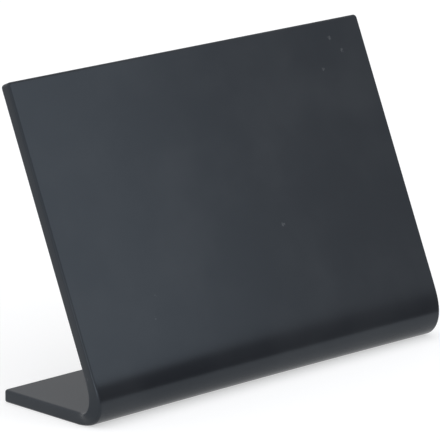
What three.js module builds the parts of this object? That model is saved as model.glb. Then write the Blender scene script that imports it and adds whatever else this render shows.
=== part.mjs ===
// Tabletop chalkboard: one sheet of matte black acrylic. The sheet is cut to a rectangle, its corners and
// edges are eased all round, and it is warmed along a strip and folded once. The long side leans back as the
// writing panel. The short side is the foot, which runs back under the panel and lies flat on the table.
// Millimetres, +Z up, +X along the board's width. The panel faces -Y. The origin is the middle of the board's
// plan, from the front of the fold to the foot's rear edge, at the height of the table.
import * as THREE from "three";
import { mergeVertices } from "three/addons/utils/BufferGeometryUtils.js";

// The sheet and its fold
const BOARD_WIDTH = 105;
const PANEL_LENGTH = 62.1; // flat part of the panel, from the fold to the top edge
const FOOT_LENGTH = 22.8; // flat part of the foot, from the fold to the rear edge
const SHEET_THICKNESS = 2.8;
const INSIDE_RADIUS = 2; // of the fold where it is tightest
const TIGHTEST_AT = 0.25; // where that is, as a share of the fold's length from the foot
const LEAN_ANGLE = 23.5; // degrees that the panel leans back from upright
const CORNER_RADIUS = 0.9; // of the four corners, in the plane of the sheet
const EDGE_RADIUS = 0.55; // of the easing round both faces
const LARGEST_EASING = 0.45; // as a share of the sheet's thickness

// What folding a warm sheet leaves behind: at each end of the fold the stretched outer side draws in and the
// squeezed inner side swells out, and halfway between its ends the fold stands a little inside their line.
const END_DRAW = 0.8;
const FOLD_BOW = 0.2;
const BOW_REACH = 16; // along the sheet, from where the fold is tightest to where the bow has died out

// Facets
const FOLD_STEPS = 48;
const PATH_STEPS = 6; // of the fold's path, to each step of the fold
const CORNER_STEPS = 5;
const EDGE_STEPS = 3;
const BOW_STEPS = 4;
const COLUMNS = 8;

const SHEET_COLOUR = 0x2a2f35;
const SHEET_ROUGHNESS = 0.55;

const FULL_TURN = 2 * Math.PI;
const QUARTER_TURN = FULL_TURN / 4;
const foldAngle = QUARTER_TURN + THREE.MathUtils.degToRad(LEAN_ANGLE);

// The sheet is warmed along a strip, and its panel is swung up while its foot is held down. So the fold is
// tightest near the foot, and its curvature fades from there to both flats. The length of the fold follows:
// with this radius where it is tightest, it turns the panel up by the whole fold angle.
const tightestRadius = INSIDE_RADIUS + SHEET_THICKNESS / 2;
const pathSteps = FOLD_STEPS * PATH_STEPS;
const stepMiddles = evenSteps(pathSteps).slice(1).map((share) => share - 0.5 / pathSteps);
const meanTightness = stepMiddles.reduce((sum, share) => sum + tightness(share), 0) / pathSteps;
const foldLength = (tightestRadius * foldAngle) / meanTightness;
const foldStart = FOOT_LENGTH;
const tightestPlace = foldStart + TIGHTEST_AT * foldLength;
const foldEnd = foldStart + foldLength;
const sheetLength = foldEnd + PANEL_LENGTH;

// An eased edge leaves some straight cut between its two roundings, and is tighter than the corners that it
// runs round.
const edgeRadius = Math.min(EDGE_RADIUS, LARGEST_EASING * Math.min(SHEET_THICKNESS, 2 * CORNER_RADIUS));

// The bow doesn't reach into the corners.
const nearerEnd = Math.min(tightestPlace, sheetLength - tightestPlace);
const bowReach = Math.min(BOW_REACH, nearerEnd - 2 * CORNER_RADIUS);

// The numbers from 0 to 1 in equal steps, both ends included.
function evenSteps(count) {
  return Array.from({ length: count + 1 }, (_, i) => i / count);
}

// 1 where t is 0, and a smooth fall to 0 where it is 1 or -1 or beyond.
function fallOff(t) {
  const clamped = THREE.MathUtils.clamp(t, -1, 1);
  return (1 - clamped * clamped) ** 2;
}

// The fold's curvature a share of the way along it, as a share of its greatest.
function tightness(share) {
  const fromTightest = share - TIGHTEST_AT;
  const fadeLength = fromTightest < 0 ? TIGHTEST_AT : 1 - TIGHTEST_AT;
  return fallOff(fromTightest / fadeLength) ** 2;
}

// The path of the middle of the sheet's thickness through the fold. It starts at y = 0, where it leaves the
// foot's flat, and has at each point the angle that the sheet has turned up.
function foldPath() {
  const step = foldLength / pathSteps;
  const path = [{ turn: 0, y: 0, z: SHEET_THICKNESS / 2 }];
  for (const share of stepMiddles) {
    const { turn, y, z } = path.at(-1);
    const bend = (step * tightness(share)) / tightestRadius;
    const heading = turn + bend / 2;
    path.push({ turn: turn + bend, y: y - step * Math.cos(heading), z: z + step * Math.sin(heading) });
  }
  return path;
}

const path = foldPath();

// The point of the path a share of the way along the fold.
function pathPoint(share) {
  const place = share * pathSteps;
  const before = path[Math.floor(place)];
  const after = path[Math.ceil(place)];
  const between = (key) => THREE.MathUtils.lerp(before[key], after[key], place % 1);
  return { turn: between("turn"), y: between("y"), z: between("z") };
}

// How far back the outer face is, a share of the way along the fold. The fold's front is where it is least.
function outerFaceAt(share) {
  const { turn, y } = pathPoint(share);
  return y - (SHEET_THICKNESS / 2) * Math.sin(turn);
}

const foldFront = Math.min(...evenSteps(FOLD_STEPS).map(outerFaceAt));
const planMiddle = (FOOT_LENGTH + foldFront) / 2;

// A point of the folded sheet. across and along are its place on the flat blank, and depth is its distance
// from the outer face: the front of the panel and the underside of the foot. It stands off the path at right
// angles, and what lies beyond the fold runs on straight.
function foldedPoint(across, along, depth) {
  const share = THREE.MathUtils.clamp((along - foldStart) / foldLength, 0, 1);
  const straight = along - foldStart - share * foldLength;
  const { turn, y: middleY, z: middleZ } = pathPoint(share);

  const side = across / (BOARD_WIDTH / 2);
  const layer = (2 * depth) / SHEET_THICKNESS - 1; // -1 at the outer face, 1 at the inner face
  const draw = END_DRAW * layer * tightness(share);
  const bow = FOLD_BOW * (1 - side * side) * fallOff((along - tightestPlace) / bowReach);
  const outwards = SHEET_THICKNESS / 2 - depth - bow;

  const x = across + side * draw;
  const y = middleY - outwards * Math.sin(turn) - straight * Math.cos(turn) - planMiddle;
  const z = middleZ - outwards * Math.cos(turn) + straight * Math.sin(turn);
  return new THREE.Vector3(x, y, z);
}

// Rows of the blank run across it, from the foot's rear edge to the panel's top edge. A row is a function of
// the inset from the blank's outline, and gives half of its width and its place along the sheet.
function cornerRow(turn, atTop) {
  return (inset) => {
    const radius = CORNER_RADIUS - inset;
    const half = BOARD_WIDTH / 2 - CORNER_RADIUS + radius * Math.sin(turn);
    const fromEnd = CORNER_RADIUS - radius * Math.cos(turn);
    return { half, along: atTop ? sheetLength - fromEnd : fromEnd };
  };
}

function sideRow(along) {
  return (inset) => ({ half: BOARD_WIDTH / 2 - inset, along });
}

// Distances from one end of the fold at which the flat there has rows, while the bow dies out.
function bowDistances(foldFade) {
  const beyondFold = Math.max(bowReach - foldFade, CORNER_RADIUS);
  return evenSteps(BOW_STEPS).slice(1).map((t) => t * beyondFold);
}

const cornerTurns = evenSteps(CORNER_STEPS).map((t) => t * QUARTER_TURN);
const rows = [
  ...cornerTurns.map((turn) => cornerRow(turn, false)),
  ...bowDistances(tightestPlace - foldStart).toReversed().map((distance) => sideRow(foldStart - distance)),
  ...evenSteps(FOLD_STEPS).map((t) => sideRow(foldStart + t * foldLength)),
  ...bowDistances(foldEnd - tightestPlace).map((distance) => sideRow(foldEnd + distance)),
  ...cornerTurns.toReversed().map((turn) => cornerRow(turn, true)),
];
const columns = evenSteps(COLUMNS).map((t) => 2 * t - 1);

function sheetPoint(row, column, inset, depth) {
  const { half, along } = row(inset);
  return foldedPoint(column * half, along, depth);
}

// The eased edge as a profile through the sheet: a quarter round off the outer face, the straight cut, and a
// quarter round on to the inner face.
const easing = evenSteps(EDGE_STEPS).map((t) => ({
  inset: edgeRadius * (1 - Math.sin(t * QUARTER_TURN)),
  depth: edgeRadius * (1 - Math.cos(t * QUARTER_TURN)),
}));
const edgeProfile = [
  ...easing,
  ...easing.toReversed().map(({ inset, depth }) => ({ inset, depth: SHEET_THICKNESS - depth })),
];

// Once round the blank at one step of the edge profile: along the rear edge, up one side, back along the top
// edge and down the other side.
function loopRound({ inset, depth }) {
  const at = (row, column) => sheetPoint(row, column, inset, depth);
  const between = rows.slice(1, -1);
  return [
    ...columns.map((column) => at(rows[0], column)),
    ...between.map((row) => at(row, 1)),
    ...columns.toReversed().map((column) => at(rows.at(-1), column)),
    ...between.toReversed().map((row) => at(row, -1)),
  ];
}

// Two triangles for the quadrilateral a, b, c, d, which runs anticlockwise seen from outside.
function quad(a, b, c, d) {
  return [a, b, c, a, c, d];
}

// One face of the sheet as a grid of rows and columns, inside the easing.
function facePoints(depth) {
  const grid = rows.map((row) => columns.map((column) => sheetPoint(row, column, edgeRadius, depth)));
  return grid.slice(1).flatMap((next, r) =>
    columns.slice(1).flatMap((_, c) => quad(grid[r][c], grid[r][c + 1], next[c + 1], next[c])),
  );
}

function edgePoints() {
  const loops = edgeProfile.map(loopRound);
  return loops.slice(1).flatMap((inner, step) => {
    const outer = loops[step];
    return outer.flatMap((point, i) => {
      const next = (i + 1) % outer.length;
      return quad(point, inner[i], inner[next], outer[next]);
    });
  });
}

function sheetGeometry() {
  const points = [...facePoints(0), ...facePoints(SHEET_THICKNESS).reverse(), ...edgePoints()];
  const geometry = mergeVertices(new THREE.BufferGeometry().setFromPoints(points));
  geometry.computeVertexNormals();
  return geometry;
}

const matteAcrylic = new THREE.MeshStandardMaterial({
  color: SHEET_COLOUR,
  roughness: SHEET_ROUGHNESS,
  metalness: 0,
});
matteAcrylic.name = "matte_acrylic";

const boardSheet = new THREE.Mesh(sheetGeometry(), matteAcrylic);
boardSheet.name = "board_sheet";

const chalkboard = new THREE.Group();
chalkboard.name = "tabletop_chalkboard";
chalkboard.add(boardSheet);

export default chalkboard;
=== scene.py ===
"""Tabletop chalkboard: the looks of one folded sheet of matte black acrylic, on a white table.

Lengths are written in millimetres and turned to metres where a mesh or an object takes them. Colours are sRGB
hex values. +X runs along the board's width, the panel faces -Y and the table is at z = 0.
"""

import math

import bpy
import numpy as np
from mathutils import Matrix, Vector


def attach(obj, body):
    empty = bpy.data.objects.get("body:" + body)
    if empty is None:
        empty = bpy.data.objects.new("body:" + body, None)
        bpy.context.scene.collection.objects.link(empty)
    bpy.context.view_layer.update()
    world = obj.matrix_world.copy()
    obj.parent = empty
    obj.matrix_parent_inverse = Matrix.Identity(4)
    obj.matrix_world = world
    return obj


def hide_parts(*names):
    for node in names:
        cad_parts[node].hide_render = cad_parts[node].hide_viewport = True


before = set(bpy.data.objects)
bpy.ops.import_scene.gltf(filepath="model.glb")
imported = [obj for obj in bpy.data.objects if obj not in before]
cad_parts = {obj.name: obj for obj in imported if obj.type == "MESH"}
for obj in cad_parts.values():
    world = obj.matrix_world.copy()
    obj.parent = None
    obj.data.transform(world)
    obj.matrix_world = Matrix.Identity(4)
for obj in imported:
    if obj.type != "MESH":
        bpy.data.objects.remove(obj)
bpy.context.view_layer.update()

MM = 0.001

# The sheet and its fold, as the frame has them, in millimetres and degrees
BOARD_WIDTH = 105
PANEL_LENGTH = 62.1
FOOT_LENGTH = 22.8
SHEET_THICKNESS = 2.8
INSIDE_RADIUS = 2
TIGHTEST_AT = 0.25
LEAN_ANGLE = 23.5
CORNER_RADIUS = 0.9
EDGE_RADIUS = 0.55
END_DRAW = 0.8
FOLD_BOW = 0.2
BOW_REACH = 16

# Steps of the fine surface
FOLD_STEPS = 144
PATH_STEPS = 1440
CORNER_STEPS = 8
EDGE_STEPS = 8
BOW_STEPS = 16
COLUMNS = 56
GUARD = 0.12  # a column this far inside the easing keeps the faces' shading flat up to it

# Shape


def fall_off(t):
    """1 where t is 0, and (1 - t^2)^2 down to 0 where t is 1 or -1 or beyond."""
    return (1 - np.clip(t, -1, 1) ** 2) ** 2


def tightness(share):
    """The fold's curvature a share of the way along it, as a share of its greatest."""
    from_tightest = share - TIGHTEST_AT
    return fall_off(from_tightest / np.where(from_tightest < 0, TIGHTEST_AT, 1 - TIGHTEST_AT)) ** 2


def fold_path():
    """The fold's length, and the path of the middle of the sheet's thickness: shares, turn, y and z.

    The turn is the running sum of the curvature, scaled to the whole fold angle. The path is the running sum
    of short steps in the direction that the sheet has turned to.
    """
    fold_angle = math.radians(90 + LEAN_ANGLE)
    shares = np.linspace(0, 1, PATH_STEPS + 1)
    tight = tightness((shares[1:] + shares[:-1]) / 2)
    length = (INSIDE_RADIUS + SHEET_THICKNESS / 2) * fold_angle / tight.mean()
    turn = np.concatenate([[0], np.cumsum(tight) / tight.sum() * fold_angle])
    heading = (turn[1:] + turn[:-1]) / 2
    step = length / PATH_STEPS
    y = np.concatenate([[0], np.cumsum(-step * np.cos(heading))])
    z = np.concatenate([[0], np.cumsum(step * np.sin(heading))]) + SHEET_THICKNESS / 2
    return length, shares, turn, y, z


FOLD_LENGTH, PATH_SHARES, PATH_TURN, PATH_Y, PATH_Z = fold_path()
FOLD_END = FOOT_LENGTH + FOLD_LENGTH
TIGHTEST_PLACE = FOOT_LENGTH + TIGHTEST_AT * FOLD_LENGTH
SHEET_LENGTH = FOLD_END + PANEL_LENGTH
FOLD_FRONT = np.min(PATH_Y - SHEET_THICKNESS / 2 * np.sin(PATH_TURN))
PLAN_MIDDLE = (FOOT_LENGTH + FOLD_FRONT) / 2


def folded(across, along, depth):
    """The blank's point (across, along) at a depth from its outer face, folded, in metres.

    It stands off the fold's path at right angles, and what lies beyond the fold runs on straight. At the
    fold's ends the outer side is drawn in and the inner side swollen, as far as the fold is tight there, and
    halfway between them the fold stands a little inside their line.
    """
    share = np.clip((along - FOOT_LENGTH) / FOLD_LENGTH, 0, 1)
    straight = along - FOOT_LENGTH - share * FOLD_LENGTH
    turn = np.interp(share, PATH_SHARES, PATH_TURN)
    side = across / (BOARD_WIDTH / 2)
    layer = 2 * depth / SHEET_THICKNESS - 1
    draw = END_DRAW * layer * tightness(share)
    bow = FOLD_BOW * (1 - side**2) * fall_off((along - TIGHTEST_PLACE) / BOW_REACH)
    outwards = SHEET_THICKNESS / 2 - depth - bow
    middle_y = np.interp(share, PATH_SHARES, PATH_Y) - PLAN_MIDDLE
    middle_z = np.interp(share, PATH_SHARES, PATH_Z)
    x = across + side * draw
    y = middle_y - outwards * np.sin(turn) - straight * np.cos(turn)
    z = middle_z - outwards * np.cos(turn) + straight * np.sin(turn)
    return np.stack([x, y, z], axis=-1) * MM


def blank_rows(inset):
    """Half width and place along the blank of each row, for an outline drawn in by inset.

    The rows run through the rear corners' quarter rounds, along the two sides, and through the top corners'.
    """
    quarter = np.linspace(0, math.pi / 2, CORNER_STEPS + 1)
    radius = CORNER_RADIUS - inset
    corner_half = BOARD_WIDTH / 2 - CORNER_RADIUS + radius * np.sin(quarter)
    corner_along = CORNER_RADIUS - radius * np.cos(quarter)
    foot_side = np.linspace(TIGHTEST_PLACE - BOW_REACH, FOOT_LENGTH, BOW_STEPS + 1)[:-1]
    panel_side = np.linspace(FOLD_END, TIGHTEST_PLACE + BOW_REACH, BOW_STEPS + 1)[1:]
    sides = np.concatenate([foot_side, np.linspace(FOOT_LENGTH, FOLD_END, FOLD_STEPS + 1), panel_side])
    half = np.concatenate([corner_half, np.full(len(sides), BOARD_WIDTH / 2 - inset), corner_half[::-1]])
    along = np.concatenate([corner_along, sides, SHEET_LENGTH - corner_along[::-1]])
    return half, along


def sheet_grid(columns, inset, depth):
    """The sheet's points at one inset and one depth, as a grid of rows and columns."""
    half, along = blank_rows(inset)
    return folded(columns * half[:, None], np.repeat(along[:, None], len(columns), axis=1), depth)


def outline(grid):
    """Once round a grid of rows and columns, without a repeat."""
    return np.concatenate([grid[0], grid[1:-1, -1], grid[-1, ::-1], grid[-2:0:-1, 0]])


def quads(a, b, c, d):
    """Four-sided faces, from an array of point numbers for each of their corners."""
    return np.stack([a, b, c, d], axis=-1).reshape(-1, 4)


def sheet_mesh():
    """The whole sheet as one closed surface: its points, its faces, and which points are on the edge.

    The two faces are grids of rows and columns. The edge is carried round their outline: a quarter round off
    the outer face, the straight cut, and a quarter round on to the inner face.
    """
    quarter = np.linspace(0, math.pi / 2, EDGE_STEPS + 1)
    inset = EDGE_RADIUS * (1 - np.sin(quarter))
    depth = EDGE_RADIUS * (1 - np.cos(quarter))
    profile = [*zip(inset, depth), *zip(inset[::-1], SHEET_THICKNESS - depth[::-1])]

    guard = 1 - GUARD / (BOARD_WIDTH / 2)
    columns = np.concatenate([[-1], np.linspace(-guard, guard, COLUMNS + 1), [1]])
    outer = sheet_grid(columns, EDGE_RADIUS, 0)
    inner = sheet_grid(columns, EDGE_RADIUS, SHEET_THICKNESS)
    rings = [outline(sheet_grid(columns, *step)) for step in profile[1:-1]]
    points = np.concatenate([outer.reshape(-1, 3), inner.reshape(-1, 3), *rings])
    on_edge = np.arange(len(points)) >= 2 * outer[..., 0].size

    outer_ids, inner_ids = np.arange(2 * outer[..., 0].size).reshape(2, *outer.shape[:2])
    ring_ids = np.arange(on_edge.sum()).reshape(len(rings), -1) + 2 * outer[..., 0].size
    ring_ids = np.concatenate([[outline(outer_ids)], ring_ids, [outline(inner_ids)]])
    next_ids = np.roll(ring_ids, -1, axis=1)
    faces = np.concatenate(
        [
            quads(outer_ids[:-1, :-1], outer_ids[:-1, 1:], outer_ids[1:, 1:], outer_ids[1:, :-1]),
            quads(inner_ids[:-1, :-1], inner_ids[1:, :-1], inner_ids[1:, 1:], inner_ids[:-1, 1:]),
            quads(ring_ids[:-1], ring_ids[1:], next_ids[1:], next_ids[:-1]),
        ]
    )
    return points, faces, on_edge


def add_piece(name, points, faces):
    """A smooth-shaded mesh object at the origin, from arrays of points and four-sided faces."""
    mesh = bpy.data.meshes.new(name)
    mesh.vertices.add(len(points))
    mesh.vertices.foreach_set("co", points.astype(np.float32).ravel())
    mesh.loops.add(faces.size)
    mesh.loops.foreach_set("vertex_index", faces.astype(np.int32).ravel())
    mesh.polygons.add(len(faces))
    mesh.polygons.foreach_set("loop_start", np.arange(0, faces.size, 4, dtype=np.int32))
    mesh.update(calc_edges=True)
    mesh.validate()
    mesh.shade_smooth()
    piece = bpy.data.objects.new(name, mesh)
    bpy.context.scene.collection.objects.link(piece)
    return piece


# Materials


def linear(hex_colour):
    """An sRGB hex colour, such as 0x2a2f35, as linear red, green, blue and an alpha of 1."""
    channels = [(hex_colour >> shift & 255) / 255 for shift in (16, 8, 0)]
    return (*[c / 12.92 if c <= 0.04045 else ((c + 0.055) / 1.055) ** 2.4 for c in channels], 1.0)


def add_node(tree, kind, settings=None, **inputs):
    """A node with its settings, and its inputs by name or index: a socket is linked and a value is set."""
    made = tree.nodes.new(kind)
    for key, value in (settings or {}).items():
        setattr(made, key, value)
    for key, value in inputs.items():
        number = key[1:] if key[0] == "_" else ""
        socket = made.inputs[int(number) if number.isdigit() else key.replace("_", " ")]
        if isinstance(value, bpy.types.NodeSocket):
            tree.links.new(value, socket)
        else:
            socket.default_value = value
    return made


def maths(tree, operation, first, second):
    """The result of one operation on two sockets or values."""
    return add_node(tree, "ShaderNodeMath", {"operation": operation}, _0=first, _1=second).outputs[0]


def ramp(tree, value, low, high, to_low, to_high):
    """A smooth change from to_low, where the value is low, to to_high, where it is high."""
    settings = {"interpolation_type": "SMOOTHSTEP"}
    made = add_node(tree, "ShaderNodeMapRange", settings, Value=value, From_Min=low, From_Max=high)
    made.inputs["To Min"].default_value = to_low
    made.inputs["To Max"].default_value = to_high
    return made.outputs["Result"]


def noise(tree, place, size, detail):
    """Noise whose features are about size millimetres across."""
    made = add_node(tree, "ShaderNodeTexNoise", Vector=place, Scale=1 / (size * MM), Detail=detail)
    return made.outputs["Fac"]


def new_material(name):
    """A material without nodes, and its tree."""
    material = bpy.data.materials.new(name)
    material.use_nodes = True
    material.node_tree.nodes.clear()
    return material, material.node_tree


SHEET_COLOUR = 0x24262A
CHALK_COLOUR = 0xC9CBCC
ACRYLIC_IOR = 1.49
SHEEN = 0.305  # as a specular level: a matte texture returns less than a polished face
SHEEN_COLOUR = 0xE2F2FF
FACE_ROUGHNESS = 0.2
EDGE_ROUGHNESS = 0.24
GRAIN_SIZE = 0.4  # the real texture is about ten times as fine, which is too fine to show
GRAIN_DEPTH = 0.004
MOTTLE_SIZE = 1.6
MOTTLE_ROUGHNESS = 0.03
HAZE_SIZE = 22
HAZE_FROM = 0.35  # the noise at which a cloud of haze begins
HAZE_FULL = 0.75  # and at which it is full
HAZE_MOST = 0.012
SPECK_SPACING = 10
SPECK_RADIUS = 0.5
SPECK_RAGGED = 1.6  # the most that the grain moves a speck's outline
SPECK_CORE = 0.8  # the share of a speck's radius inside which the chalk is full
SPECK_CHALK = 0.08


def matte_acrylic():
    """Cast acrylic, dyed black through, matte on both faces and slightly duller on its eased edges.

    The texture gives the black a soft, cool sheen and blurs what the sheet mirrors. What wiping leaves of the
    chalk is a faint haze in soft clouds and a few ragged specks.
    """
    material, tree = new_material("black_cast_acrylic_matte")
    place = add_node(tree, "ShaderNodeTexCoord").outputs["Object"]
    on_edge = add_node(tree, "ShaderNodeAttribute", {"attribute_name": "edge"}).outputs["Fac"]
    grain = noise(tree, place, GRAIN_SIZE, detail=2)

    haze = ramp(tree, noise(tree, place, HAZE_SIZE, detail=3), HAZE_FROM, HAZE_FULL, 0, HAZE_MOST)
    cells = add_node(tree, "ShaderNodeTexVoronoi", Vector=place, Scale=1 / (SPECK_SPACING * MM))
    ragged = maths(tree, "MULTIPLY", grain, SPECK_RAGGED / SPECK_SPACING)
    from_middle = maths(tree, "ADD", cells.outputs["Distance"], ragged)
    radius = (SPECK_RADIUS + SPECK_RAGGED / 2) / SPECK_SPACING
    specks = ramp(tree, from_middle, SPECK_CORE * radius, radius, SPECK_CHALK, 0)
    colour = add_node(tree, "ShaderNodeMix", {"data_type": "RGBA"}, _0=maths(tree, "MAXIMUM", haze, specks))
    colour.inputs[6].default_value = linear(SHEET_COLOUR)
    colour.inputs[7].default_value = linear(CHALK_COLOUR)

    clean = ramp(tree, on_edge, 0, 1, FACE_ROUGHNESS, EDGE_ROUGHNESS)
    mottle = maths(tree, "MULTIPLY", noise(tree, place, MOTTLE_SIZE, detail=2), MOTTLE_ROUGHNESS)
    wiped = maths(tree, "ADD", haze, mottle)
    bump = add_node(tree, "ShaderNodeBump", Strength=1.0, Distance=GRAIN_DEPTH * MM, Height=grain)
    shader = add_node(
        tree,
        "ShaderNodeBsdfPrincipled",
        Base_Color=colour.outputs[2],
        Roughness=maths(tree, "ADD", clean, wiped),
        IOR=ACRYLIC_IOR,
        Specular_IOR_Level=SHEEN,
        Specular_Tint=linear(SHEEN_COLOUR),
        Normal=bump.outputs["Normal"],
    )
    add_node(tree, "ShaderNodeOutputMaterial", Surface=shader.outputs["BSDF"])
    return material


TABLE_COLOUR = 0xC4C4C4
TABLE_GLOW = 0.52


def white_table():
    """Matt white table. It takes the board's shadow, and shows as plain white where nothing shades it."""
    material, tree = new_material("matt_white_table")
    rays = add_node(tree, "ShaderNodeLightPath").outputs
    mirrored = maths(tree, "MAXIMUM", rays["Is Glossy Ray"], rays["Is Transmission Ray"])
    seen = maths(tree, "MAXIMUM", rays["Is Camera Ray"], mirrored)
    paint = add_node(tree, "ShaderNodeBsdfDiffuse", Color=linear(TABLE_COLOUR))
    glow = add_node(tree, "ShaderNodeEmission", Strength=maths(tree, "MULTIPLY", seen, TABLE_GLOW))
    both = add_node(tree, "ShaderNodeAddShader", _0=paint.outputs["BSDF"], _1=glow.outputs["Emission"])
    add_node(tree, "ShaderNodeOutputMaterial", Surface=both.outputs["Shader"])
    return material


CARD_COLOUR = 0x0A0A0A


def black_card():
    """Matt black card, which reflects next to nothing."""
    material, tree = new_material("matt_black_card")
    shader = add_node(tree, "ShaderNodeBsdfDiffuse", Color=linear(CARD_COLOUR))
    add_node(tree, "ShaderNodeOutputMaterial", Surface=shader.outputs["BSDF"])
    return material


# The board

points, faces, on_edge = sheet_mesh()
board = add_piece("acrylic_sheet", points, faces)
board.data.attributes.new("edge", "FLOAT", "POINT").data.foreach_set("value", on_edge.astype(np.float32))
board.data.materials.append(matte_acrylic())
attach(board, "root")
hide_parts("board_sheet")

# The table, and a black card in front of the board, which is seen in reflections alone

TABLE_HALF = 3000
table_corners = np.array([[-1, -1, 0], [1, -1, 0], [1, 1, 0], [-1, 1, 0]]) * TABLE_HALF * MM
table = add_piece("table_top", table_corners, np.array([[0, 1, 2, 3]]))
table.data.materials.append(white_table())

CARD_Y = -45
CARD_LEFT_HEIGHT = 20.5
CARD_RIGHT_HEIGHT = 36
CARD_LEFT = -60
CARD_RIGHT = 420
card_corners = [[CARD_LEFT, CARD_Y, 0], [CARD_RIGHT, CARD_Y, 0]]
card_corners += [[CARD_RIGHT, CARD_Y, CARD_RIGHT_HEIGHT], [CARD_LEFT, CARD_Y, CARD_LEFT_HEIGHT]]
card = add_piece("front_card", np.array(card_corners) * MM, np.array([[0, 1, 2, 3]]))
card.data.materials.append(black_card())
card.visible_camera = False
card.visible_diffuse = False
card.visible_shadow = False

# Light: a room that is brightest to the left and above, a soft lamp in front and to the right, and a low
# strip to the left, which draws a line of light on the eased edges


def direction(azimuth, elevation):
    """The unit vector towards an azimuth, 0 in front of the board and 90 to its right, and an elevation."""
    a = math.radians(azimuth)
    e = math.radians(elevation)
    return Vector((math.sin(a) * math.cos(e), -math.cos(a) * math.cos(e), math.sin(e)))


ROOM_MIDDLE = 0.77
ROOM_SWING = 0.55
ROOM_COLOUR = 0xFCFDFF
BRIGHTEST = direction(-85, 38)

world = bpy.data.worlds.new("soft_room")
bpy.context.scene.world = world
world.use_nodes = True
room = world.node_tree
room.nodes.clear()
towards = add_node(room, "ShaderNodeTexCoord").outputs["Generated"]
facing = add_node(room, "ShaderNodeVectorMath", {"operation": "DOT_PRODUCT"}, _0=towards, _1=BRIGHTEST)
swing = maths(room, "MULTIPLY", facing.outputs["Value"], ROOM_SWING)
strength = maths(room, "ADD", swing, ROOM_MIDDLE)
background = add_node(room, "ShaderNodeBackground", Color=linear(ROOM_COLOUR), Strength=strength)
add_node(room, "ShaderNodeOutputWorld", Surface=background.outputs["Background"])


def area_lamp(name, towards, distance, width, height, radiance, colour):
    """A rectangular lamp that faces the board from a distance in a direction, and isn't in the picture."""
    data = bpy.data.lights.new(name, "AREA")
    data.shape = "RECTANGLE"
    data.size = width * MM
    data.size_y = height * MM
    data.energy = radiance * math.pi * data.size * data.size_y
    data.color = linear(colour)[:3]
    lamp = bpy.data.objects.new(name, data)
    lamp.location = towards * distance * MM
    lamp.rotation_mode = "QUATERNION"
    lamp.rotation_quaternion = (-towards).to_track_quat("-Z", "Y")
    lamp.visible_camera = False
    bpy.context.scene.collection.objects.link(lamp)
    return lamp


area_lamp("soft_box", direction(26, 31), distance=500, width=300, height=300, radiance=1.55, colour=0xEEF6FF)
edge_strip = area_lamp(
    "edge_strip", direction(-62, 5), distance=800, width=500, height=140, radiance=5, colour=0xF4F8FF
)
edge_strip.visible_diffuse = False

# Camera

CAMERA_TARGET = Vector((0, 0.505, 35)) * MM
CAMERA_DISTANCE = 930.49
CAMERA_AZIMUTH = -44.023
CAMERA_ELEVATION = 14.131
SENSOR_WIDTH = 36
LENS_LENGTH = 348.08
SHIFT_X = -0.0148
SHIFT_Y = -0.01293

back = direction(CAMERA_AZIMUTH, CAMERA_ELEVATION)
camera_data = bpy.data.cameras.new("camera")
camera_data.sensor_width = SENSOR_WIDTH
camera_data.lens = LENS_LENGTH
camera_data.shift_x = SHIFT_X
camera_data.shift_y = SHIFT_Y
camera_data.clip_start = 0.01
camera_data.clip_end = 100
camera = bpy.data.objects.new("camera", camera_data)
camera.location = CAMERA_TARGET + back * CAMERA_DISTANCE * MM
camera.rotation_mode = "QUATERNION"
camera.rotation_quaternion = (-back).to_track_quat("-Z", "Y")
bpy.context.scene.collection.objects.link(camera)
bpy.context.scene.camera = camera

bpy.context.scene.view_settings.view_transform = "Standard"
